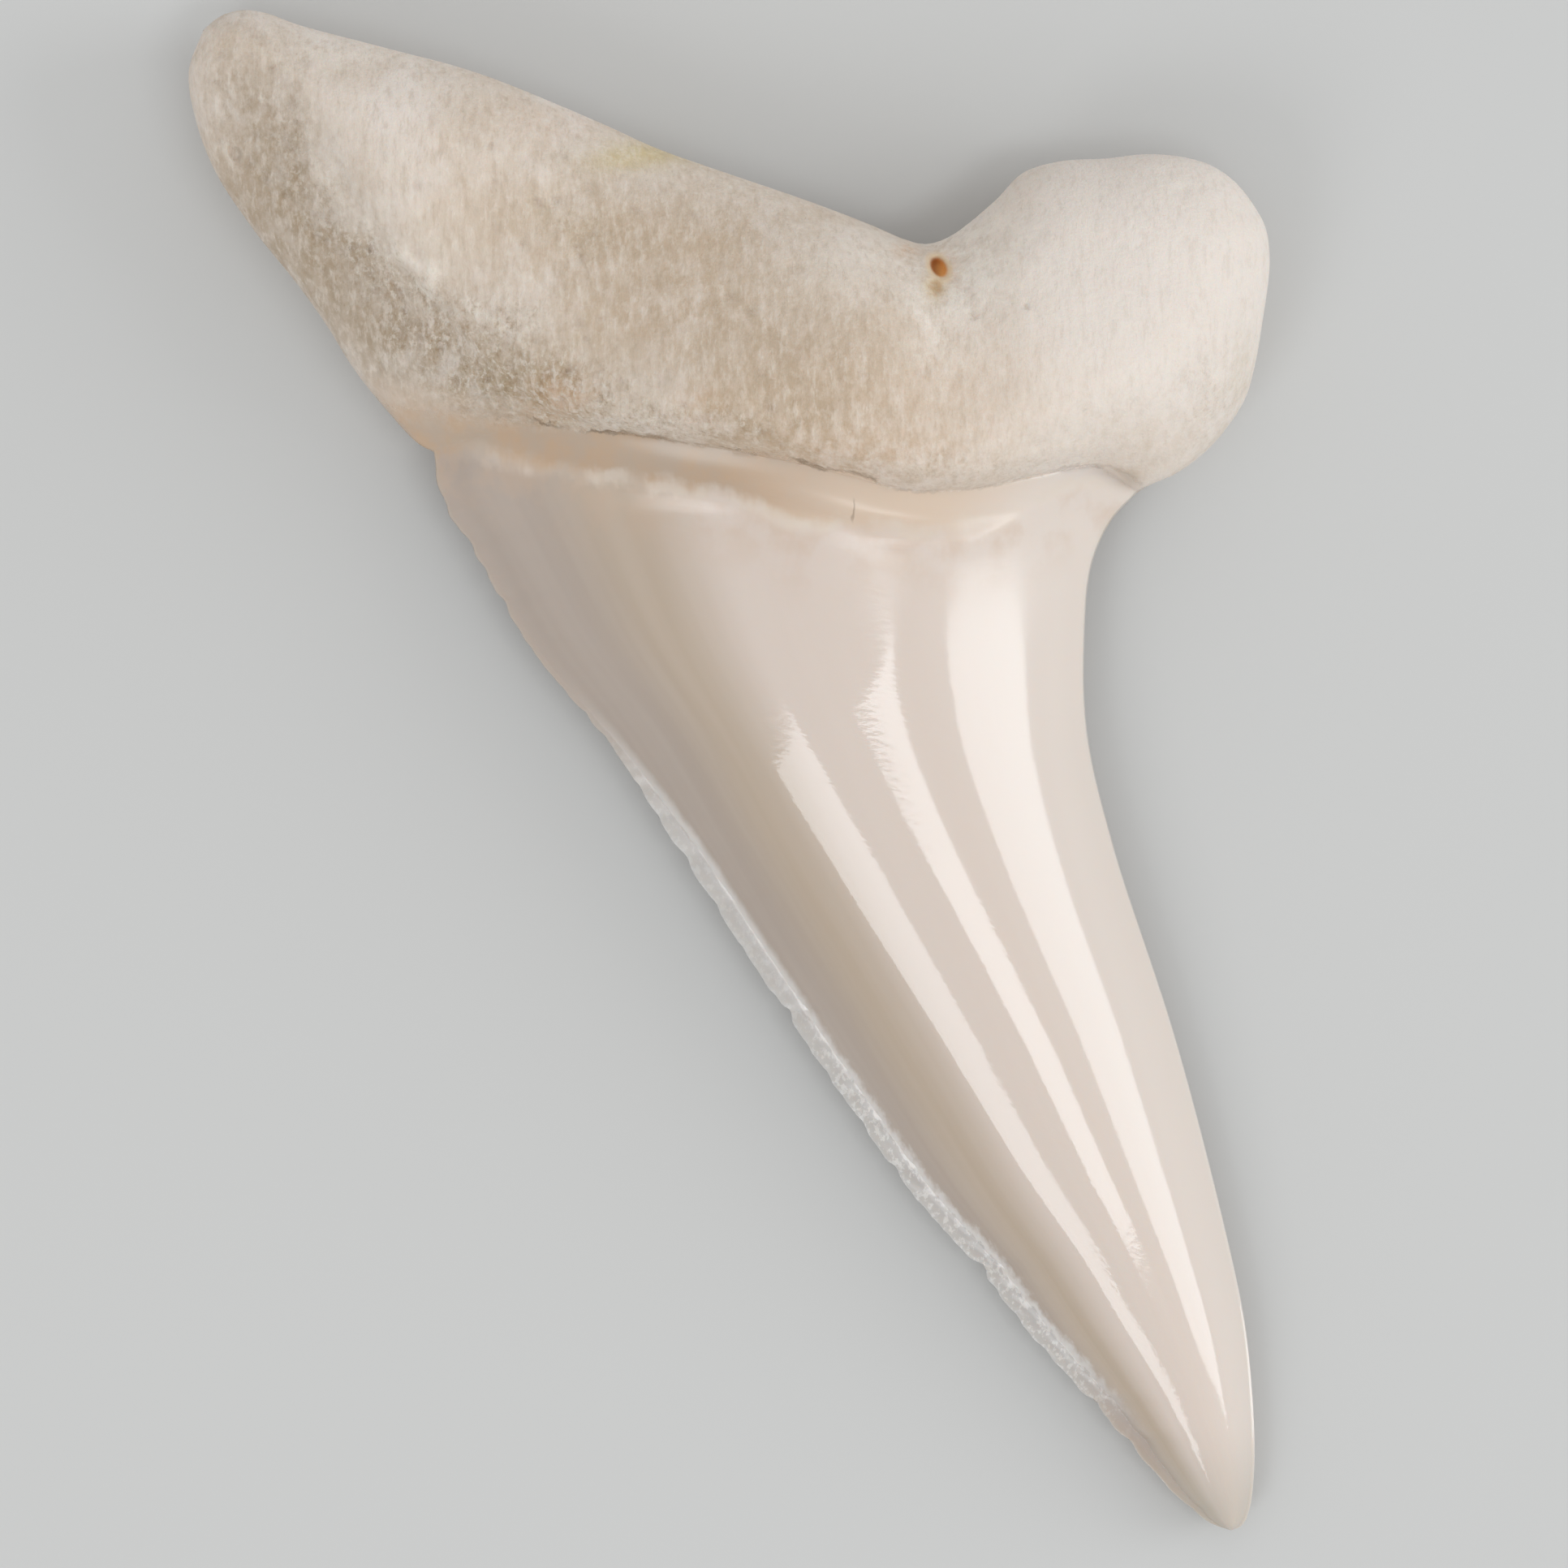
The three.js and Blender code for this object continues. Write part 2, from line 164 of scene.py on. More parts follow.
neckBand = {
    "bandLeft": 1.6,
    "bandRight": 0.5,
    "narrowing": (8, 13.5),
    "groove": (0.15, 0.11),  # at the left and at the right
    "lipRise": 0.06,
    "lipWidth": 0.4,
    "lipBelow": 0.25,
    "crownReach": (0.8, 0.97),  # shares from the tip over which they set in
    "chalkLine": [           # where the chalky root ends on the lingual face, y by x
        (-16.0, 15.5), (-13.6, 13.8), (-12.6, 13.4), (-11.6, 13.0), (-10.3, 12.75), (-8.9, 12.65),
        (-8.0, 12.5), (-6.3, 12.1), (-5.3, 11.83), (-3.7, 11.75), (-2.1, 11.5), (-0.5, 11.2),
        (1.8, 10.9), (3.2, 10.5), (4.8, 10.2), (5.5, 9.8), (6.6, 9.7), (8.3, 9.75), (9.55, 10.0),
        (11.0, 10.4), (12.1, 10.66), (13.0, 10.7), (13.8, 10.5), (14.6, 10.0), (19.0, 6.0),
    ],
    "lipLine": [             # where the enamel ends
        (-16.0, 12.0), (-10.2, 11.3), (-8.9, 11.15), (-7.4, 10.9), (-5.3, 10.4), (-3.7, 10.15),
        (-2.65, 9.98), (-0.5, 9.65), (1.05, 9.3), (2.5, 8.6), (4.3, 8.6), (6.6, 8.38),
        (7.6, 8.44), (9.0, 8.7), (10.1, 9.1), (11.1, 9.65), (12.2, 10.15), (14.6, 9.9), (19.0, 6.0),
    ],
    "labialLine": [(-10.5, 11.3), (-5.0, 12.4), (2.0, 12.0), (9.0, 10.8), (14.4, 9.9)],
    "labialBand": 0.3,
}

relief = {
    "lumps": 0.14,           # broad unevenness of the root
    "smallLumps": 0.05,
    "chalkEdge": (-0.2, 0.5),    # distances above the chalk line over which the relief sets in
    "rimFade": 0.9,          # and distance inside the rim
    "fibres": 0.05,          # upright fibre bundles
    "roughness": 0.10,       # crumbly crust along the ledge
    "crestLine": [           # bright crumbly crest of the long lobe, y by x
        (-15.6, 24.4), (-14.7, 22.4), (-14.2, 21.0), (-13.05, 19.4), (-11.3, 17.9), (-9.6, 16.6),
        (-7.9, 15.3), (-5.9, 14.2), (-3.0, 13.4),
    ],
    "crest": {"rise": 0.2, "width": 0.34, "wander": 0.35, "reach": ((-15.2, -14.2), (-8.6, -6.4))},
    "poreCount": 340,
    "poreDepth": (0.05, 0.2),
    "poreSize": (0.09, 0.2),
    "poreReach": 0.6,
    "poreSeed": 11,
    "strayPores": 0.08,      # chance of a pore where the root is smooth
    "roughSpots": [          # x, y, reach across, reach up, strength
        (-8.9, 14.7, 1.6, 1.1, 1.0), (-5.9, 13.2, 2.0, 0.8, 1.0), (-10.8, 16.0, 0.9, 0.9, 0.9),
        (-12.4, 17.5, 0.8, 1.0, 0.9), (-13.9, 19.3, 0.7, 1.2, 0.7), (-15.1, 21.6, 0.6, 1.4, 0.5),
        (-1.5, 11.9, 3.0, 0.5, 0.7), (6.5, 10.5, 5.5, 0.6, 0.4), (-7.6, 15.8, 1.2, 0.6, 0.4),
        (-6.8, 12.4, 2.0, 0.35, 0.8),
        (16.6, 13.2, 1.2, 1.6, 0.4), (-16.8, 24.0, 1.6, 2.2, 0.4), (-4.9, 18.8, 1.4, 1.0, 0.35),
    ],
    "openings": [            # x, y, radius, depth
        (7.3, 17.5, 0.33, 0.7), (7.12, 16.74, 0.24, 0.26), (6.2, 18.15, 0.3, 0.06),
        (-17.2, 21.6, 0.26, 0.25), (8.44, 15.65, 0.1, 0.12), (10.25, 16.02, 0.12, 0.12),
        (11.0, 16.5, 0.08, 0.08),
    ],
    "openingStretch": 1.35,  # how much taller than wide they are
    "openingLean": 0.25,
    "openingWall": (0.35, 1.2),  # from the floor to outside the rim, in radii
    "stainedDepth": 0.28,    # openings deeper than this have a rusty floor
}

stains = {                   # x, y, reach across, reach up, strength
    "tanStain": [
        (1.5, 14.5, 4.6, 3.6, 1.0), (-4.5, 18.5, 3.6, 2.6, 0.7), (-9.5, 20.5, 3.0, 3.0, 0.35),
        (-17.4, 24.0, 1.8, 2.2, 0.35), (6.0, 16.0, 1.6, 1.4, 0.3),
        (7.0, 11.5, 4.0, 1.6, 0.6), (-6.0, 14.5, 3.0, 2.0, 0.6), (14.8, 11.2, 1.6, 0.8, 0.5),
        (1.8, 12.5, 1.8, 1.0, 0.8), (0.0, 17.7, 2.6, 1.8, 0.5),
    ],
    # grey-brown left flank of the long lobe: partly stain, partly painted shade where that flank faces
    # away from the lamps
    "greyFlank": [
        (-15.0, 19.0, 1.2, 2.0, 1.0), (-13.2, 16.6, 1.2, 1.6, 1.0), (-11.4, 14.8, 1.2, 1.1, 0.9),
        (-16.4, 21.4, 1.1, 2.2, 0.8), (-8.4, 13.4, 1.8, 0.7, 0.6),
    ],
    "brownStain": [
        (-9.0, 14.8, 1.8, 1.4, 1.0), (-6.0, 13.1, 2.0, 0.8, 1.0), (-11.3, 16.6, 1.0, 1.0, 0.9),
        (-13.4, 18.4, 1.0, 1.4, 0.9), (-14.8, 20.6, 0.8, 1.6, 0.8), (-16.3, 22.6, 1.3, 1.8, 0.5),
        (2.6, 14.2, 2.2, 2.8, 0.3), (-4.6, 19.0, 2.4, 1.3, 0.5),
        (-0.6, 15.8, 3.0, 3.0, 0.3), (-17.4, 24.8, 1.4, 1.8, 0.4), (0.8, 11.9, 3.5, 0.8, 0.4),
        (6.0, 12.0, 5.0, 2.2, 0.3), (17.2, 12.4, 1.0, 1.6, 0.3), (-17.0, 19.6, 0.9, 1.8, 0.6),
    ],
    "oliveStain": [
        (-3.1, 21.5, 1.3, 0.4, 0.5), (-5.3, 19.2, 1.1, 0.6, 0.25), (-7.4, 13.6, 1.6, 1.0, 0.3),
        (-4.9, 12.4, 2.4, 0.5, 0.3), (9.9, 20.9, 0.6, 0.25, 0.6), (17.9, 13.9, 0.5, 0.9, 0.4),
    ],
    "orangeStain": [
        (7.45, 17.5, 0.3, 0.44, 0.5), (7.15, 16.7, 0.2, 0.3, 0.4), (6.2, 18.15, 0.32, 0.22, 0.4),
        (-5.8, 13.0, 0.9, 0.6, 0.3), (-0.9, 12.6, 0.6, 0.5, 0.14), (-10.2, 11.6, 0.5, 0.5, 0.3),
        (7.5, 13.0, 2.2, 1.6, 0.12), (-6.3, 22.6, 1.2, 0.6, 0.12), (3.9, 10.9, 2.5, 0.5, 0.16),
    ],
    "yellowStain": [
        (-2.7, 21.6, 1.0, 0.35, 1.2), (-3.9, 21.2, 0.8, 0.3, 0.7), (7.15, 16.74, 0.26, 0.36, 1.1),
    ],
    "neckStain": [(14.05, 10.28, 0.34, 0.22, 0.5), (13.5, 10.5, 0.4, 0.12, 0.3)],
    "chalkBloom": [
        (-10.3, 17.6, 1.0, 0.7, 0.6), (-13.4, 21.6, 0.6, 1.5, 0.5), (-13.6, 25.1, 2.6, 0.6, 0.7),
        (-7.0, 15.8, 1.0, 0.8, 0.4), (7.9, 14.9, 1.2, 1.8, 0.7), (15.3, 20.4, 0.6, 0.35, 0.8),
        (-3.4, 13.0, 1.5, 1.0, 0.5), (0.5, 20.6, 3.2, 0.5, 0.4), (11.5, 12.0, 2.5, 1.5, 0.35),
        (6.9, 15.6, 0.7, 1.4, 0.8), (5.0, 17.9, 1.7, 0.9, 0.8), (-11.4, 19.0, 0.8, 1.0, 0.5),
        (8.6, 18.7, 1.4, 1.2, 1.0), (8.5, 17.5, 1.2, 1.2, 1.3), (3.0, 16.9, 1.6, 1.0, 0.4),
    ],
}
stainsBelow = 0.4            # strength of the stains on the labial face


def clamp(value, low=0.0, high=1.0):
    return min(high, max(low, value))


def mix(a, b, share):
    return a + (b - a) * share


def smoothstep(low, high, value):
    share = clamp((value - low) / (high - low))
    return share * share * (3 - 2 * share)


def between(value, rise, fall):
    # 1 between a soft rise and a soft fall, each given by its two ends
    return smoothstep(*rise, value) * (1 - smoothstep(*fall, value))


def quarterRound(value):
    # the profile of a rounded edge, from 0 at its foot to 1 where it levels off
    return math.sqrt(1 - (1 - clamp(value)) ** 2)


def stationLookup(stations, position):
    # straight lines between (position, value) pairs
    spot = bisect.bisect_right(stations, (position, math.inf))
    if spot == 0:
        return stations[0][1]
    if spot == len(stations):
        return stations[-1][1]
    (p0, v0), (p1, v1) = stations[spot - 1], stations[spot]
    return mix(v0, v1, (position - p0) / (p1 - p0))


def gaussians(spots, x, y):
    # the sum of soft round spots at a point
    total = 0.0
    for spotX, spotY, across, up, strength in spots:
        reach = ((x - spotX) / across) ** 2 + ((y - spotY) / up) ** 2
        if reach < 18:       # a spot further away adds next to nothing
            total += strength * math.exp(-reach / 2)
    return total


def wave(x, y, z=0.0):
    # smooth noise about zero; z picks the pattern
    return noise.noise(Vector((x, y, z)))


def splinePoint(a, b, c, d, share):
    # one stretch of a centripetal Catmull-Rom curve, from b to c
    before, span, after = [max((q - p).length, 1e-6) ** 0.5 for p, q in ((a, b), (b, c), (c, d))]
    start = ((b - a) / before - (c - a) / (before + span) + (c - b) / span) * span
    end = ((c - b) / span - (d - b) / (span + after) + (d - c) / after) * span
    square = (3 * (c - b) - 2 * start - end) * share**2
    cube = (2 * (b - c) + start + end) * share**3
    return b + start * share + square + cube


class SmoothPath:
    # a smooth curve through points, read by its share of the length
    def __init__(self, points, steps=20):
        knots = [Vector(p) for p in points]
        knots = [2 * knots[0] - knots[1], *knots, 2 * knots[-1] - knots[-2]]
        self.points = []
        for a, b, c, d in zip(knots, knots[1:], knots[2:], knots[3:]):
            self.points += [splinePoint(a, b, c, d, step / steps) for step in range(steps)]
        self.points.append(knots[-2])
        self.lengths = [0.0]
        for p, q in zip(self.points, self.points[1:]):
            self.lengths.append(self.lengths[-1] + (q - p).length)
        self.length = self.lengths[-1]

    def at(self, share):
        distance = clamp(share) * self.length
        spot = min(max(bisect.bisect_right(self.lengths, distance), 1), len(self.points) - 1)
        start, end = self.lengths[spot - 1], self.lengths[spot]
        return self.points[spot - 1].lerp(self.points[spot], (distance - start) / (end - start))


paths = {name: SmoothPath(points) for name, points in outline.items()}


def makeFinder(names, count=1500):
    # nearest point on some of the paths, with the distance along the path
    finder = KDTree(count * len(names))
    along = []
    for name in names:
        path = paths[name]
        for step in range(count):
            share = step / (count - 1)
            finder.insert(path.at(share).to_3d(), len(along))
            along.append(share * path.length)
    finder.balance()

    def nearest(point):
        _, number, distance = finder.find(point.to_3d())
        return distance, along[number]

    return nearest


rimFinder = makeFinder(["rootLeft", "rootTop", "rootRight"])
frontFinder = makeFinder(["frontEdge"])


def frontWearAt(distance):
    # how far the worn front edge stands inside its mean line
    length = paths["frontEdge"].length
    phase = distance / length * frontWear["serrations"] + frontWear["wander"] * wave(distance * 0.35, 5)
    notch = 1 - 2 * abs(math.sin(math.pi * phase))
    strength = 0.6 + 0.9 * wave(distance * 0.23, 9)
    chips = frontWear["chipping"] * wave(distance * 2.1, 2)
    fade = smoothstep(0, frontWear["tipFade"], distance)
    fade *= smoothstep(0, frontWear["neckFade"], length - distance)
    nicks = sum(
        depth * math.exp(-(((distance - at) / frontWear["nickWidth"]) ** 2))
        for at, depth in frontWear["nicks"]
    )
    return (frontWear["swing"] / 2 * strength * notch + chips) * fade + nicks


@lru_cache(maxsize=None)
def crownRow(v):
    # ends of a line across the crown, the way inward, its width and the wear at its front end
    start, end = paths["frontEdge"].at(v), paths["backEdge"].at(v)
    ahead, behind = paths["frontEdge"].at(v + 0.002), paths["frontEdge"].at(v - 0.002)
    along = (ahead - behind).normalized()
    inward = Vector((along.y, -along.x))
    return start, end, inward, max((end - start).length, 0.01), frontWearAt(v * paths["frontEdge"].length)


@lru_cache(maxsize=None)
def neckColumn(u):
    # a point of the neck, how far it stands from the straight neck, and the root's top above it
    straight = paths["neck"].at(0).lerp(paths["neck"].at(1), u)
    return paths["neck"].at(u), paths["neck"].at(u) - straight, paths["rootTop"].at(u)


@lru_cache(maxsize=None)
def rootRow(w):
    # sides of the root at a share of its height, and the same for a root with straight sides
    left, right = paths["rootLeft"].at(w), paths["rootRight"].at(w)
    cornerLeft = paths["neck"].at(0).lerp(paths["rootTop"].at(0), w)
    cornerRight = paths["neck"].at(1).lerp(paths["rootTop"].at(1), w)
    return left, right, cornerLeft, cornerRight


def crownPlan(u, v):
    # a point of the crown seen from above, and the crown's width there
    start, end, inward, width, wear = crownRow(v)
    point = start.lerp(end, u) + neckColumn(u)[1] * v**3
    return point + inward * (wear * math.exp(-u * width)), width


def rootPlan(u, w):
    # a point of the root seen from above, and the root's width there
    low, _, high = neckColumn(u)
    left, right, cornerLeft, cornerRight = rootRow(w)
    point = low.lerp(high, w) + left.lerp(right, u) - cornerLeft.lerp(cornerRight, u)
    return point, (right - left).length


def crownLens(u, v, width):
    # 0 at the cutting edges and 1 on the crest, and how far up its bevel the point is
    front = min(crown["frontBevel"], crown["largestBevelShare"] * width)
    front *= mix(1.0, crown["neckBevelShare"], smoothstep(*crown["bevelNarrows"], v))
    back = min(crown["backBevel"], crown["largestBevelShare"] * width)
    share = clamp((u * width - front) / (width - front - back))
    share **= mix(crown["crestShift"], 1.0, smoothstep(*crown["crestShiftFades"], v))
    border = min(1, u * width / front, (1 - u) * width / back)
    return 1 - abs(2 * share - 1) ** crown["lingualRoundness"], border


def flatteningAt(u, v):
    # how much the dome has levelled off, as a height on the crest
    past = max(0.0, v - stationLookup(crown["flatStart"], u)) * paths["frontEdge"].length
    return crown["flatSlope"] * past * past / (past + crown["flatSoftness"])


def lineGap(stations, x, y):
    # distance above a line that is given as y by x
    slope = (stationLookup(stations, x + 0.3) - stationLookup(stations, x - 0.3)) / 0.6
    return (y - stationLookup(stations, x)) / math.hypot(1, slope)


def neckRelief(x, below):
    # the shallow groove of the neck band and the low lip of the enamel under it
    narrowing = smoothstep(*neckBand["narrowing"], x)
    band = mix(neckBand["bandLeft"], neckBand["bandRight"], narrowing)
    groove = math.sin(math.pi * clamp(below / band))
    lip = math.exp(-(((below - band - neckBand["lipBelow"]) / neckBand["lipWidth"]) ** 2))
    return neckBand["lipRise"] * lip - mix(*neckBand["groove"], narrowing) * groove


def makePores():
    # small openings in the root, thickest in its crumbly places
    dice = random.Random(relief["poreSeed"])
    pores = []
    while len(pores) < relief["poreCount"]:
        x, y = dice.uniform(-18.5, 18.5), dice.uniform(10, 26)
        if dice.random() < relief["strayPores"] + gaussians(relief["roughSpots"], x, y):
            pores.append((x, y, dice.uniform(*relief["poreSize"]), dice.uniform(*relief["poreDepth"])))
    finder = KDTree(len(pores))
    for number, (x, y, _, _) in enumerate(pores):
        finder.insert((x, y, 0), number)
    finder.balance()
    return pores, finder


pores, poreFinder = makePores()


def poreDepthAt(point):
    # what the pores near a point take off its height
    depth = 0.0
    for _, number, distance in poreFinder.find_range(point.to_3d(), relief["poreReach"]):
        size, deepest = pores[number][2:]
        depth += deepest * math.exp(-((distance / size) ** 2))
    return depth


def openingAt(x, y):
    # depth of the openings at a point, and its distance outside their rims
    depth, outside = 0.0, mesh["farFromOpening"]
    for openX, openY, radius, deepest in relief["openings"]:
        lean = (y - openY) * relief["openingLean"]
        reach = math.hypot(x - openX + lean, (y - openY) / relief["openingStretch"]) / radius
        depth += deepest * (1 - smoothstep(*relief["openingWall"], reach))
        if deepest > relief["stainedDepth"]:
            outside = min(outside, (reach - 1) * radius)
    return depth, outside


def crestAt(x, y):
    # 1 along the crest of the long lobe, falling to 0 beside it
    crest = relief["crest"]
    reach = between(x, *crest["reach"])
    reach *= clamp(0.65 + 1.3 * wave(x * 1.1, y * 1.1, 31))
    gap = lineGap(relief["crestLine"], x, y) + crest["wander"] * wave(x * 1.7, y * 1.7, 33)
    return reach * math.exp(-((gap / crest["width"]) ** 2))


def rootRelief(x, y, flowX, flowY, rough):
    # lumps, fibres that are weaker on the right, and a crumbly crust
    calm = smoothstep(3, 12, x)
    lumps = relief["lumps"] * wave(x * 0.3, y * 0.3, 1) + relief["smallLumps"] * wave(x * 0.8, y * 0.8, 4)
    fibres = wave(flowX * 1.9, flowY * 0.28, 7) + 0.6 * wave(flowX * 4.1, flowY * 0.6, 3)
    crust = wave(x * 2.3, y * 2.0, 12) + 0.7 * wave(x * 4.6, y * 4.2, 15)
    return (
        lumps
        + relief["fibres"] * fibres * mix(1, 0.35, calm)
        + relief["roughness"] * crust * rough
    )


def lingualHeight(u, v, w, width, point, flow):
    # height of the upper face: u runs across, v from tip to neck and w from neck to root top
    x, y = point
    level = stationLookup(rimLevel, y)
    lens, border = crownLens(u, v, width)
    taper = v ** crown["tipTaper"]
    fromRim = 0.0 if w <= 0 or w >= 1 or u <= 0 or u >= 1 else rimFinder(point)[0]
    gap = lineGap(root["ledge"], x, y)
    neckShare = lens**0.5 * smoothstep(*neckBand["crownReach"], v)
    shelf = root["shelf"] * smoothstep(0, 0.15, w) * quarterRound(fromRim / root["shelfRounding"])
    height = level + crown["bevelRise"] * border * taper
    height += (crown["dome"] * taper - flatteningAt(u, v)) * lens
    height += neckRelief(x, max(0, -gap)) * neckShare + shelf
    if w <= 0:
        return height + enamelRelief(u, v, width, lens, flow[1])
    rounding = mix(root["shoulderRounding"], root["rounding"], smoothstep(0.1, 0.6, w))
    top = root["slab"] + gaussians(root["swellings"], x, y)
    raised = level + (top - level) * quarterRound(fromRim / rounding)
    ledge = quarterRound(gap / stationLookup(root["ledgeWidth"], x))
    height = mix(min(height, raised), raised, ledge)
    rough = gaussians(relief["roughSpots"], x, y)
    chalky = smoothstep(*relief["chalkEdge"], lineGap(neckBand["chalkLine"], x, y))
    chalky *= smoothstep(0, relief["rimFade"], fromRim)
    crest = relief["crest"]["rise"] * crestAt(x, y)
    height += (rootRelief(x, y, *flow, rough) + crest) * chalky
    return height - poreDepthAt(point) * chalky - openingAt(x, y)[0]


def enamelRelief(u, v, width, lens, flowY):
    # long soft waves, and the fine ridge along the thin front border
    fade = between(v, *crown["fluteReach"])
    flutes = crown["flute"] * wave(u * 7, flowY * 0.05, 21) * lens * fade
    for atTip, atNeck, rise, halfWidth in crown["ridges"]:
        away = (u - mix(atTip, atNeck, v)) * width / mix(0.5, 1.0, v) / halfWidth
        flutes += rise * math.exp(-(away**2)) * between(v, *crown["ridgeReach"])
    shoulder = crown["shoulder"]
    away = (u - shoulder["across"]) * width / shoulder["halfWidth"]
    flutes += shoulder["rise"] * math.exp(-(away**2)) * smoothstep(*shoulder["reach"], v) * lens
    fromFront = u * width
    reach = between(v, *crown["bevelReach"]) * smoothstep(0, 0.2, fromFront)
    lip = math.exp(-(((fromFront - crown["frontBevel"]) / crown["bevelLipWidth"]) ** 2))
    alongFade, inwardFade = crown["chipsFade"]
    worn = 1 - smoothstep(*alongFade, v)
    chips = crown["chips"] * worn * wave(fromFront * 2.5, flowY * 1.7, 8)
    chips *= 1 - smoothstep(*inwardFade, fromFront)
    return flutes + (crown["bevelLip"] * lip + chips) * reach


def labialHeight(u, v, w, width, point, flow):
    # height of the lower face, which is flat at the crown and a little hollow at the root
    x, y = point
    level = stationLookup(rimLevel, y)
    tipRound = quarterRound(v * paths["frontEdge"].length / crown["labialTipLength"])
    flat = crown["labialFlat"] ** crown["labialRoundness"]
    across = abs(2 * u - 1) ** crown["labialRoundness"]
    height = mix(level, level * max(0, (across - flat) / (1 - flat)), tipRound)
    if w <= 0:
        return height
    fromRim = 0.0 if w >= 1 or u <= 0 or u >= 1 else rimFinder(point)[0]
    rounding = mix(root["labialRounding"] / 3, root["labialRounding"], smoothstep(0, 0.35, w))
    base = max(0, root["labialHollow"] + gaussians(root["labialSwellings"], x, y))
    rootHeight = mix(level, base, quarterRound(fromRim / rounding))
    uneven = rootRelief(x, y, *flow, root["labialRoughness"])
    uneven *= smoothstep(0, relief["rimFade"], fromRim)
    uneven *= smoothstep(0.05, 0.2, w)
    height = mix(height, rootHeight, smoothstep(0, root["labialStep"], w))
    return max(0, height + uneven * root["labialRelief"])


mesh = {
    "columns": 88,
    "rows": 166,
    "crownShare": 0.66,      # of the rows
    "columnCrowding": 0.45,  # how much closer the columns stand by the edges
    "rootCrowding": 0.8,
    "flowWidth": 26,         # of the unrolled surface that the finish follows
    "rootFlow": 15,
    "fineBorder": 1.1,       # width of the border with finer faces
    "fineOpening": 2,        # radii round an opening with finer faces
    "farFromEdge": 9.0,      # distances given to points with no edge or opening near
    "farFromOpening": 5.0,
}


def crowded(share, amount):
    # moves shares towards 0 and 1, so that the mesh is finer there
    return mix(share, (1 - math.cos(math.pi * share)) / 2, amount)


def placeOf(vert):
    # where a point of the flat sheet lies on the tooth, in plan
    u = crowded(clamp(vert.co.x + 0.5), mesh["columnCrowding"])
    row = clamp(vert.co.y + 0.5)
    v = min(1.0, row / mesh["crownShare"])
    w = crowded(max(0.0, (row - mesh["crownShare"]) / (1 - mesh["crownShare"])), mesh["rootCrowding"])
    point, width = rootPlan(u, w) if w > 0 else crownPlan(u, v)
    return u, v, w, point, width


def refine(bm, wanted):
    # split the edges that lie where finer faces are wanted
    close = {vert: wanted(vert) for vert in bm.verts}
    edges = [edge for edge in bm.edges if all(close[vert] for vert in edge.verts)]
    bmesh.ops.subdivide_edges(bm, edges=edges, cuts=1, use_grid_fill=True)


def isFrontBorder(vert):
    u, _, w, _, width = placeOf(vert)
    return w <= 0 and vert.co.z >= 0 and u * width < mesh["fineBorder"]


def isOpening(vert):
    point = placeOf(vert)[3]
    return vert.co.z > 0 and any(
        math.hypot(point.x - x, point.y - y) < mesh["fineOpening"] * radius
        for x, y, radius, _ in relief["openings"]
    )


def makeSheets():
    # two flat sheets joined round their border: the lingual one above, the labial one below
    bm = bmesh.new()
    bmesh.ops.create_grid(bm, x_segments=mesh["columns"], y_segments=mesh["rows"], size=0.5)
    copy = bmesh.ops.duplicate(bm, geom=bm.verts[:] + bm.edges[:] + bm.faces[:])["geom"]
    labialFaces = [item for item in copy if isinstance(item, bmesh.types.BMFace)]
    bmesh.ops.reverse_faces(bm, faces=labialFaces)
    below = {vert for face in labialFaces for vert in face.verts}
    rim = [vert for vert in bm.verts if vert.is_boundary]
    for vert in bm.verts:
        vert.co.z = 0 if vert.is_boundary else (-1 if vert in below else 1)
    bmesh.ops.remove_doubles(bm, verts=rim, dist=1e-5)
    upper = [edge for edge in bm.edges if any(vert.co.z > 0 for vert in edge.verts)]
    rimEdges = [edge for edge in bm.edges if all(vert.co.z == 0 for vert in edge.verts)]
    bmesh.ops.subdivide_edges(bm, edges=upper + rimEdges, cuts=1, use_grid_fill=True)
    refine(bm, isFrontBorder)
    refine(bm, isOpening)
    refine(bm, isOpening)
    return bm


def marksAt(u, w, point, width, side):
    # what the finish reads at a point; side is above 0 on the lingual face, below 0 on the labial
    x, y = point
    front, alongFront = frontFinder(point)
    marks = {
        "chalk": lineGap(neckBand["chalkLine"], x, y),
        "lip": lineGap(neckBand["lipLine"], x, y),
        "front": front if w <= 0 else mesh["farFromEdge"],
        "alongFront": alongFront,
        "rough": gaussians(relief["roughSpots"], x, y),
        "crest": crestAt(x, y) if side > 0 else 0.0,
        "opening": openingAt(x, y)[1] if side > 0 else mesh["farFromOpening"],
    }
    if side < 0:
        inner = smoothstep(0.0, 1.2, min(u, 1 - u) * width)
        labialGap = lineGap(neckBand["labialLine"], x, y)
        marks["chalk"] = mix(marks["chalk"], labialGap - neckBand["labialBand"], inner)
        marks["lip"] = mix(marks["lip"], labialGap, inner)
    strength = 1.0 if side >= 0 else stainsBelow
    for name in stains:
        marks[name] = gaussians(stains[name], x, y) * strength
    return marks


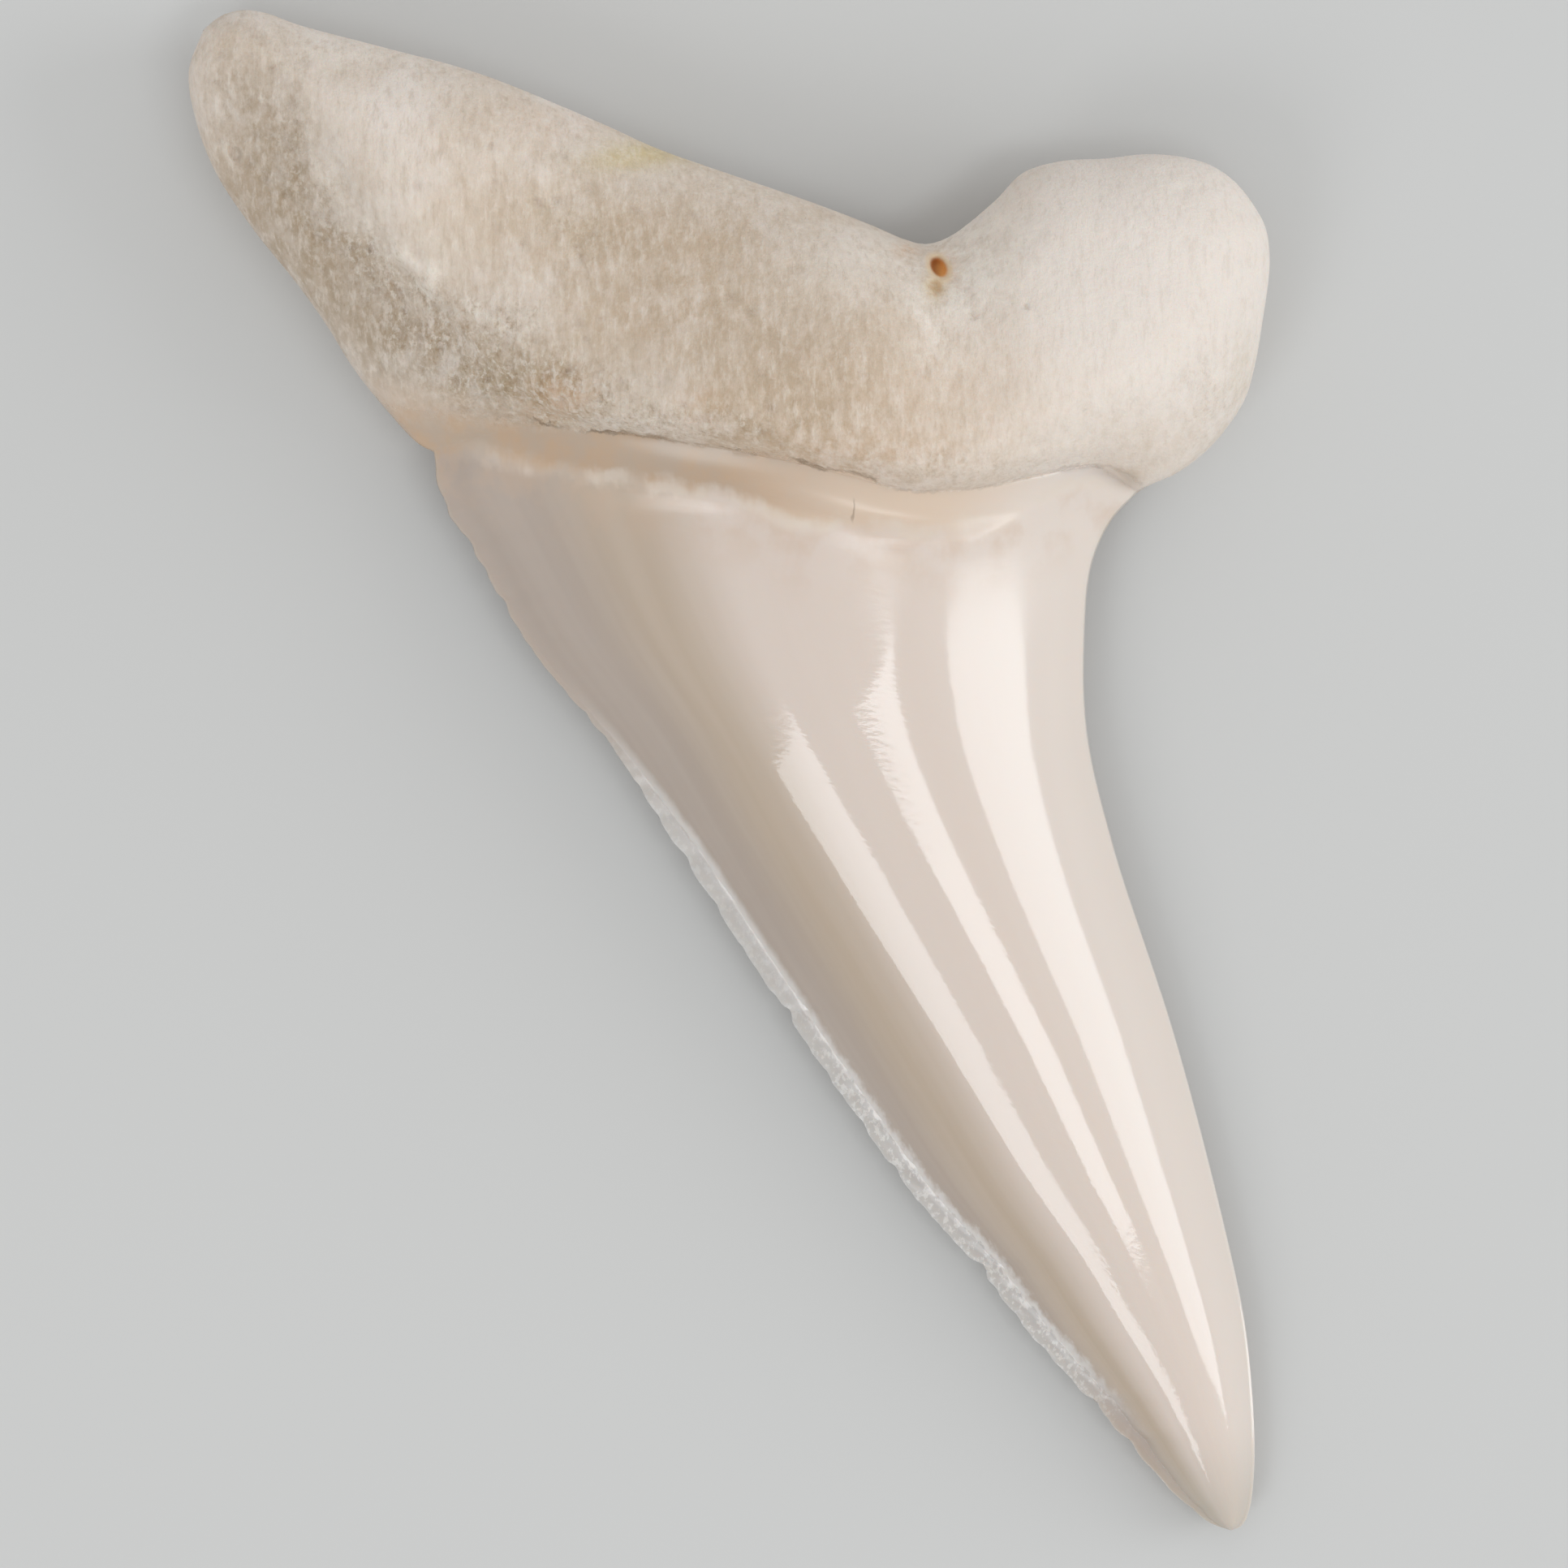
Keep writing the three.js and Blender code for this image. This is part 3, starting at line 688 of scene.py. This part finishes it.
def makeTooth():
    bm = makeSheets()
    names = ["chalk", "lip", "front", "alongFront", "rough", "crest", "opening", *stains]
    layers = {name: bm.verts.layers.float.new(name) for name in names}
    flow = bm.verts.layers.float_vector.new("flow")
    for vert in bm.verts:
        u, v, w, point, width = placeOf(vert)
        flowPoint = u * mesh["flowWidth"], v * paths["frontEdge"].length + w * mesh["rootFlow"]
        side = vert.co.z
        height = lingualHeight if side > 0 else labialHeight
        z = height(u, v, w, width, point, flowPoint)
        if side == 0:
            z = stationLookup(rimLevel, point.y)
        for name, value in marksAt(u, w, point, width, side).items():
            vert[layers[name]] = value
        vert[flow] = (*flowPoint, side)
        vert.co = Vector((*point, z)) * mm
    bmesh.ops.remove_doubles(bm, verts=bm.verts[:], dist=1e-7)
    bmesh.ops.dissolve_degenerate(bm, edges=bm.edges[:], dist=1e-7)
    bmesh.ops.triangulate(bm, faces=[face for face in bm.faces if len(face.verts) > 4])
    bmesh.ops.recalc_face_normals(bm, faces=bm.faces[:])
    data = bpy.data.meshes.new("toothMesh")
    bm.to_mesh(data)
    bm.free()
    data.shade_smooth()
    tooth = bpy.data.objects.new("fossilTooth", data)
    bpy.context.scene.collection.objects.link(tooth)
    triangles = sum(len(face.vertices) - 2 for face in data.polygons)
    print("tooth modelled:", len(data.vertices), "vertices,", triangles, "triangles")
    return tooth


def addNode(tree, kind, inputs=None, **settings):
    # a node with its settings, and its inputs as values or as sockets to link
    node = tree.nodes.new("ShaderNode" + kind)
    for name, value in settings.items():
        setattr(node, name, value)
    for name, value in (inputs or {}).items():
        if isinstance(value, bpy.types.NodeSocket):
            tree.links.new(value, node.inputs[name])
        else:
            node.inputs[name].default_value = value
    return node


def attribute(tree, name, output="Fac"):
    return addNode(tree, "Attribute", attribute_name=name).outputs[output]


def axis(tree, vector, number):
    # x, y or z of a vector, as 0, 1 or 2
    return addNode(tree, "SeparateXYZ", {0: vector}).outputs[number]


def maths(tree, operation, a, b=0.0):
    return addNode(tree, "Math", {0: a, 1: b}, operation=operation).outputs[0]


def times(tree, a, b):
    return maths(tree, "MULTIPLY", a, b)


def plus(tree, a, b):
    return maths(tree, "ADD", a, b)


def ramp(tree, value, low, high, toLow=0.0, toHigh=1.0, shape="SMOOTHSTEP"):
    # toLow up to low, toHigh from high on, and a soft passage between them
    inputs = {"Value": value, "From Min": low, "From Max": high, "To Min": toLow, "To Max": toHigh}
    return addNode(tree, "MapRange", inputs, interpolation_type=shape).outputs["Result"]


def blendColours(tree, factor, a, b, mode="MIX"):
    node = addNode(tree, "Mix", data_type="RGBA", blend_type=mode)
    for socket, value in (("Factor_Float", factor), ("A_Color", a), ("B_Color", b)):
        target = next(s for s in node.inputs if s.identifier == socket)
        if isinstance(value, bpy.types.NodeSocket):
            tree.links.new(value, target)
        else:
            target.default_value = value if socket == "Factor_Float" else (*value, 1)
    return next(s for s in node.outputs if s.identifier == "Result_Color")


grains = {                   # waves a millimetre along each axis, detail, roughness, offset
    "rootClouds": ((0.3, 0.25, 0.3), 5, 0.55, 0.0),
    "mottle": ((1.4, 0.9, 1.0), 5, 0.7, 3.0),
    "fibre": ((3.9, 1.0, 1.5), 4, 0.68, 0.0),
    "flecks": ((4.6, 2.8, 4.0), 3, 0.6, 5.0),
    "specks": ((4.6, 3.6, 4.4), 4, 0.65, 9.0),
    "clouds": ((0.6, 0.5, 0.5), 4, 0.6, 7.0),
    "ragged": ((3.2, 1.6, 2.0), 4, 0.55, 0.0),
    "lipPatches": ((0.9, 0.3, 0.5), 3, 0.55, 0.0),
    "veil": ((0.7, 0.05, 1.0), 2, 0.5, 2.0),
    "ripples": ((1.4, 3.6, 1.0), 2, 0.5, 1.0),
    "rippleReach": ((0.35, 0.2, 1.0), 2, 0.5, 6.0),
}


def grain(tree, vector, name):
    # one of the soft noises
    stretch, detail, rough, offset = grains[name]
    place = addNode(tree, "Mapping", {"Vector": vector, "Scale": stretch, "Location": (offset,) * 3})
    inputs = {"Vector": place.outputs[0], "Scale": 1.0, "Detail": detail, "Roughness": rough}
    return addNode(tree, "TexNoise", inputs).outputs["Fac"]


finish = {
    "cream": (0.70, 0.60, 0.505),
    "paleCream": (0.815, 0.74, 0.675),
    "tan": (0.62, 0.49, 0.365),
    "greyAndShade": (0.37, 0.29, 0.205),
    "brownAndShade": (0.42, 0.315, 0.21),
    "olive": (0.50, 0.42, 0.28),
    "yellow": (0.66, 0.54, 0.31),
    "orange": (0.66, 0.33, 0.12),
    "openingRim": (0.80, 0.62, 0.42),
    "openingFloor": (0.80, 0.36, 0.09),
    "openingShade": (0.42, 0.15, 0.03),
    "paleChalkAndLight": (0.85, 0.775, 0.69),
    "darkPoreAndShade": (0.33, 0.22, 0.125),
    "band": (0.515, 0.405, 0.31),
    "bandOrange": (0.56, 0.40, 0.27),
    "bandRight": (0.70, 0.56, 0.44),
    # pale lip: painted highlight along the enamel's margin
    "lip": (0.74, 0.65, 0.56),
    "ledgeShadowAndCrack": (0.22, 0.15, 0.09),
    "tip": (0.50, 0.455, 0.39),
    "ivory": (0.70, 0.60, 0.53),
    "darkIvoryAndShade": (0.435, 0.36, 0.305),
    "ivoryTan": (0.50, 0.40, 0.305),
    "paleAndLitIvory": (0.75, 0.665, 0.60),
    "blush": (0.60, 0.44, 0.32),
    "edge": (0.51, 0.485, 0.46),
    "edgeWhite": (0.72, 0.69, 0.66),
    "stainTints": [          # stain, its colour, and the least of it that shows
        ("tanStain", "tan", 0.55), ("greyFlank", "greyAndShade", 0.6), ("brownStain", "brownAndShade", 0.3),
        ("oliveStain", "olive", 0.1), ("chalkBloom", "paleChalkAndLight", 0.1), ("yellowStain", "yellow", 0.8),
    ],
    "stainStrength": 0.75,
    "rightLobe": (6.0, 12.0),    # x over which the root turns pale, partly its own cleaner chalk and partly painted light
    "ivorySteps": [          # from the front edge to the back one, and the colour reached; partly tint, partly painted shade at the front and painted light at the back
        (2.5, 6.5, "ivoryTan"), (6.5, 11.0, "ivory"), (17.0, 24.0, "paleAndLitIvory"),
    ],
    "bandSteps": [(10.0, 16.0, "bandRight"), (18.0, 24.0, "paleAndLitIvory")],
    "tipReach": (0.3, 6.0),  # distance from the tip over which its darker tone fades
    "crackCentre": (4.34, 9.05),
    "crackBend": 0.13,
    "rootRoughness": 0.85,
    "enamelRoughness": 0.08,
    "neckRoughness": 0.262,
    "edgeRoughness": 0.25,   # added on the worn border
    "rootBump": (0.055, 0.13),   # where it is smooth and where it crumbles
    "rippleBump": (0.0022, 0.0055),
    "ior": 1.6,
    "subsurface": 0.25,
    "subsurfaceRadius": (1.0, 0.6, 0.4),
    "subsurfaceScale": 0.0012,
}


def makeRootColour(tree, place, specks):
    placeX = axis(tree, place, 0)
    rightLobe = ramp(tree, placeX, *finish["rightLobe"])
    mottle = grain(tree, place, "mottle")
    paleShare = ramp(tree, grain(tree, place, "rootClouds"), 0.35, 0.65)
    colour = blendColours(tree, paleShare, finish["cream"], finish["paleCream"])
    # the right lobe painted paler: partly its own cleaner chalk, partly painted light from the lamps on
    # the right
    colour = blendColours(tree, times(tree, rightLobe, 0.9), colour, finish["paleCream"])
    for name, tint, least in finish["stainTints"]:
        patch = times(tree, attribute(tree, name), ramp(tree, mottle, 0.36, 0.64, least, 1.0))
        colour = blendColours(tree, times(tree, patch, finish["stainStrength"]), colour, finish[tint])

    # painted light and shade on the fibres, weaker on the right lobe, and the rusty spots
    fibre = grain(tree, place, "fibre")
    lit = times(tree, ramp(tree, fibre, 0.5, 0.68), ramp(tree, rightLobe, 0, 1, 0.34, 0.2))
    colour = blendColours(tree, lit, colour, finish["paleChalkAndLight"])
    shade = times(tree, ramp(tree, fibre, 0.5, 0.34), ramp(tree, rightLobe, 0, 1, 0.26, 0.13))
    colour = blendColours(tree, shade, colour, finish["brownAndShade"])
    rusty = times(tree, attribute(tree, "orangeStain"), ramp(tree, specks, 0.4, 0.6, 0.4, 1.0))
    colour = blendColours(tree, rusty, colour, finish["orange"])

    # the pale crest, partly pale chalk and partly painted highlight; where the root is rough, painted
    # light on the tops of the crumbly grain, and dark pores that are partly their own colour and partly
    # painted shade in its hollows
    crest = times(tree, attribute(tree, "crest"), ramp(tree, mottle, 0.35, 0.6, 0.3, 0.75))
    colour = blendColours(tree, crest, colour, finish["paleChalkAndLight"])
    crumbly = ramp(tree, attribute(tree, "rough"), 0.05, 0.9, 0.05, 0.55)
    crumbly = times(tree, crumbly, ramp(tree, mottle, 0.38, 0.62, 0.35, 1.0))
    litCrumbs = times(tree, ramp(tree, specks, 0.5, 0.38), crumbly)
    colour = blendColours(tree, litCrumbs, colour, finish["paleChalkAndLight"])
    shadedPores = times(tree, ramp(tree, specks, 0.52, 0.66), crumbly)
    colour = blendColours(tree, shadedPores, colour, finish["darkPoreAndShade"])
    flecked = ramp(tree, grain(tree, place, "flecks"), 0.52, 0.68)
    flecked = times(tree, flecked, ramp(tree, rightLobe, 0, 1, 0.2, 0.16))
    colour = blendColours(tree, flecked, colour, finish["paleChalkAndLight"])

    # rims and floors of the openings, darker on their left side
    opening = attribute(tree, "opening")
    colour = blendColours(tree, ramp(tree, opening, 0.02, 0.2, 0.8, 0.0), colour, finish["openingRim"])
    lightSide = ramp(tree, placeX, 7.1, 7.5)
    floorColour = blendColours(tree, lightSide, finish["openingShade"], finish["openingFloor"])
    return blendColours(tree, ramp(tree, opening, -0.12, 0.0, 1.0, 0.0), colour, floorColour), fibre


def makeEnamelColour(tree, flow, across, lip, clouds):
    # ivory that pales towards the back edge, partly its own tint and partly painted shade on the front
    # flank and painted light towards the back; darker at the tip and tanned below the neck
    colour = finish["darkIvoryAndShade"]
    for low, high, tint in finish["ivorySteps"]:
        colour = blendColours(tree, ramp(tree, across, low, high), colour, finish[tint])
    veil = ramp(tree, grain(tree, flow, "veil"), 0.3, 0.7, 0.0, 0.14)
    colour = blendColours(tree, veil, colour, finish["paleAndLitIvory"])
    atTip = ramp(tree, axis(tree, flow, 1), *finish["tipReach"], 0.7, 0.0)
    colour = blendColours(tree, atTip, colour, finish["tip"])
    blush = times(tree, ramp(tree, lip, -3.2, -0.2), ramp(tree, clouds, 0.4, 0.65, 0.05, 0.45))
    return blendColours(tree, blush, colour, finish["blush"])


def addWornEdge(tree, colour, ragged, specks):
    # the thin worn front border with a white line behind it, and where that border is
    front, along = attribute(tree, "front"), attribute(tree, "alongFront")
    raggedFront = times(tree, ragged, ramp(tree, along, 18.0, 26.0, 0.5, 0.12))
    raggedFront = plus(tree, front, raggedFront)
    raggedFront = plus(tree, raggedFront, ramp(tree, along, 30.0, 37.0, 0.0, 0.42))
    reach = times(tree, ramp(tree, along, 4.0, 9.0), ramp(tree, along, 31.0, 39.0, 1.0, 0.0))
    edgeMask = times(tree, ramp(tree, raggedFront, 0.5, 0.72, 1.0, 0.0), reach)
    colour = blendColours(tree, edgeMask, colour, finish["edge"])
    line = times(tree, ramp(tree, raggedFront, 0.54, 0.62), ramp(tree, raggedFront, 0.66, 0.95, 1.0, 0.0))
    lineMask = times(tree, times(tree, line, reach), 0.8)
    colour = blendColours(tree, lineMask, colour, finish["edgeWhite"])
    chipped = times(tree, edgeMask, ramp(tree, along, 20.0, 25.0, 0.7, 0.25))
    chips = times(tree, ramp(tree, specks, 0.5, 0.6), chipped)
    return blendColours(tree, chips, colour, finish["edgeWhite"]), edgeMask


def addNeckBand(tree, enamelColour, place, across, clouds, lipRagged):
    # the smooth neck band, and the pale lip where the enamel ends, painted as a highlight along its
    # raised margin
    colour = blendColours(tree, ramp(tree, clouds, 0.35, 0.65), finish["band"], finish["bandOrange"])
    for low, high, tint in finish["bandSteps"]:
        colour = blendColours(tree, ramp(tree, across, low, high), colour, finish[tint])
    enamelMask = ramp(tree, lipRagged, -0.25, 0.25, 1.0, 0.0)
    colour = blendColours(tree, enamelMask, colour, enamelColour)
    # the pale lip line is a painted highlight
    lipHighlightMask = ramp(tree, maths(tree, "ABSOLUTE", lipRagged), 0.05, 0.45, 0.7, 0.0)
    lipHighlightMask = times(tree, lipHighlightMask, ramp(tree, grain(tree, place, "lipPatches"), 0.35, 0.6, 0.25, 1.0))
    lipHighlightMask = times(tree, lipHighlightMask, ramp(tree, axis(tree, place, 0), -10.5, -6.5))
    return blendColours(tree, lipHighlightMask, colour, finish["lip"])


def addLedgeShadow(tree, colour, placeX, raggedChalk, clouds):
    # the dark line under the ledge of the root: painted shadow of the undercut
    reach = times(tree, ramp(tree, placeX, -10.0, -7.0), ramp(tree, placeX, 4.5, 6.5, 1.0, 0.3))
    ledgeShadowMask = ramp(tree, maths(tree, "ABSOLUTE", raggedChalk), 0.0, 0.09, 0.85, 0.0)
    ledgeShadowMask = times(tree, ledgeShadowMask, reach)
    ledgeShadowMask = times(tree, ledgeShadowMask, ramp(tree, clouds, 0.35, 0.6))
    return blendColours(tree, ledgeShadowMask, colour, finish["ledgeShadowAndCrack"])


def addCrack(tree, colour, place, clouds):
    # a hair crack across the neck band
    crackX, crackY = finish["crackCentre"]
    beside = maths(tree, "SUBTRACT", axis(tree, place, 0), crackX)
    above = maths(tree, "SUBTRACT", axis(tree, place, 1), crackY)
    bend = times(tree, above, finish["crackBend"])
    bend = plus(tree, bend, ramp(tree, clouds, 0.3, 0.7, -0.12, 0.12))
    away = maths(tree, "ABSOLUTE", maths(tree, "SUBTRACT", beside, bend))
    reach = ramp(tree, maths(tree, "ABSOLUTE", above), 0.2, 0.5, 0.45, 0.0)
    crackMask = times(tree, ramp(tree, away, 0.015, 0.05, 1.0, 0.0), reach)
    return blendColours(tree, crackMask, colour, finish["ledgeShadowAndCrack"])


def makeBump(tree, flow, across, fibre, specks, rootMask):
    # the grain of the root, and fine ripples of the enamel that fray its highlights
    height = plus(tree, times(tree, fibre, 0.9), times(tree, specks, -1.0))
    crumbled = ramp(tree, attribute(tree, "rough"), 0.1, 0.9, *finish["rootBump"])
    height = times(tree, height, times(tree, rootMask, crumbled))
    rippled = ramp(tree, grain(tree, flow, "rippleReach"), 0.4, 0.62, *finish["rippleBump"])
    rippled = times(tree, rippled, ramp(tree, across, 13.0, 18.0, 1.0, 0.75))
    height = plus(tree, height, times(tree, grain(tree, flow, "ripples"), rippled))
    return addNode(tree, "Bump", {"Height": height, "Distance": mm, "Strength": 1.0}).outputs[0]


def makeToothMaterial():
    material = bpy.data.materials.new("toothEnamelAndRoot")
    material.use_nodes = True
    tree = material.node_tree
    place = addNode(tree, "TexCoord").outputs["Object"]
    place = addNode(tree, "VectorMath", {0: place, "Scale": 1 / mm}, operation="SCALE").outputs[0]
    placeX = axis(tree, place, 0)
    flow = attribute(tree, "flow", "Vector")
    across = axis(tree, flow, 0)
    lip = attribute(tree, "lip")
    specks = grain(tree, place, "specks")
    clouds = grain(tree, place, "clouds")

    # ragged borders of the chalky root and of the enamel
    ragged = ramp(tree, grain(tree, place, "ragged"), 0.25, 0.75, -0.3, 0.3, "LINEAR")
    raggedChalk = times(tree, ragged, ramp(tree, placeX, -9.0, -3.0, 0.7, 0.3))
    raggedChalk = plus(tree, attribute(tree, "chalk"), raggedChalk)
    softness = ramp(tree, placeX, -9.5, -4.5, 0.9, 0.08)
    rootMask = ramp(tree, raggedChalk, times(tree, softness, -1.0), softness)
    lipWander = plus(tree, times(tree, ragged, 0.15), ramp(tree, clouds, 0.3, 0.7, -0.2, 0.2))
    lipRagged = plus(tree, lip, lipWander)

    rootColour, fibre = makeRootColour(tree, place, specks)
    colour = makeEnamelColour(tree, flow, across, lip, clouds)
    colour, edgeMask = addWornEdge(tree, colour, ragged, specks)
    colour = addNeckBand(tree, colour, place, across, clouds, lipRagged)
    colour = blendColours(tree, rootMask, colour, rootColour)
    colour = addLedgeShadow(tree, colour, placeX, raggedChalk, clouds)
    colour = blendColours(tree, attribute(tree, "neckStain"), colour, finish["brownAndShade"])
    colour = addCrack(tree, colour, place, clouds)

    gloss = ramp(tree, lip, -5.0, -0.5, finish["enamelRoughness"], finish["neckRoughness"])
    gloss = plus(tree, gloss, times(tree, edgeMask, finish["edgeRoughness"]))
    gloss = maths(tree, "MAXIMUM", gloss, times(tree, rootMask, finish["rootRoughness"]))

    shader = tree.nodes["Principled BSDF"]
    tree.links.new(colour, shader.inputs["Base Color"])
    tree.links.new(gloss, shader.inputs["Roughness"])
    tree.links.new(makeBump(tree, flow, across, fibre, specks, rootMask), shader.inputs["Normal"])
    shader.inputs["IOR"].default_value = finish["ior"]
    shader.inputs["Subsurface Weight"].default_value = finish["subsurface"]
    shader.inputs["Subsurface Radius"].default_value = finish["subsurfaceRadius"]
    shader.inputs["Subsurface Scale"].default_value = finish["subsurfaceScale"]
    return material


studio = {
    "lens": 200.0,
    "frameWidth": 55.06,     # of the image, at the height of the tooth's edge
    "frameCentre": (1.94, -0.4),
    "edgeHeight": 2.2,
    "ambient": 0.7,
    "floorColour": (0.60, 0.60, 0.59),
    "floorRoughness": 0.7,
    "floorSize": 3.0,        # in metres, as is the lamp distance
    "lampDistance": 0.6,
    "lampTarget": (8.0, -6.0, 4.0),  # the point on the crown that the lamps face
    "lampColour": (0.93, 0.97, 1.0),
}

lamps = {                    # directions of two opposite ends seen from the tooth, width, radiance
    "sidePanel": ((0.89, -0.12, 0.38), (0.83, 0.31, 0.34), 0.50, 3.4),
    "crestPanel": ((0.33, -0.26, 0.90), (0.255, -0.11, 0.95), 0.46, 4.2),
    "lowPanel": ((-0.55, -0.44, 0.71), (-0.32, -0.68, 0.66), 0.42, 3.5),
}


def makeFloor():
    bm = bmesh.new()
    bmesh.ops.create_grid(bm, x_segments=1, y_segments=1, size=studio["floorSize"] / 2)
    data = bpy.data.meshes.new("floorMesh")
    bm.to_mesh(data)
    bm.free()
    floor = bpy.data.objects.new("studioFloor", data)
    bpy.context.scene.collection.objects.link(floor)
    material = bpy.data.materials.new("paleFloor")
    material.use_nodes = True
    shader = material.node_tree.nodes["Principled BSDF"]
    shader.inputs["Base Color"].default_value = (*studio["floorColour"], 1)
    shader.inputs["Roughness"].default_value = studio["floorRoughness"]
    data.materials.append(material)


def makeLamp(name, start, end, width, radiance):
    # a flat soft light between two directions, turned to face the tooth
    distance = studio["lampDistance"]
    first, last = Vector(start) * distance, Vector(end) * distance
    middle = (first + last) / 2
    along = (last - first).normalized()
    away = (middle - along * middle.dot(along)).normalized()
    data = bpy.data.lights.new(name, "AREA")
    data.shape = "RECTANGLE"
    data.size = width * distance
    data.size_y = (last - first).length
    data.energy = radiance * math.pi * data.size * data.size_y
    data.color = studio["lampColour"]
    lamp = bpy.data.objects.new(name, data)
    turn = Matrix((along.cross(away), along, away)).transposed().to_4x4()
    lamp.matrix_world = Matrix.Translation(middle + Vector(studio["lampTarget"]) * mm) @ turn
    bpy.context.scene.collection.objects.link(lamp)


def makeStudio():
    scene = bpy.context.scene
    scene.view_settings.view_transform = "Standard"
    world = bpy.data.worlds.new("studioWorld")
    world.use_nodes = True
    world.node_tree.nodes["Background"].inputs["Color"].default_value = (1, 1, 1, 1)
    world.node_tree.nodes["Background"].inputs["Strength"].default_value = studio["ambient"]
    scene.world = world
    for name, facts in lamps.items():
        makeLamp(name, *facts)
    data = bpy.data.cameras.new("overheadCamera")
    data.lens = studio["lens"]
    data.clip_start = 0.01
    camera = bpy.data.objects.new("overheadCamera", data)
    distance = studio["frameWidth"] * studio["lens"] / data.sensor_width + studio["edgeHeight"]
    camera.location = Vector((*studio["frameCentre"], distance)) * mm
    scene.collection.objects.link(camera)
    scene.camera = camera


makeStudio()
makeFloor()
print("studio set")
tooth = makeTooth()
tooth.data.materials.append(makeToothMaterial())
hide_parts("tooth")
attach(tooth, "root")
print("tooth finished")
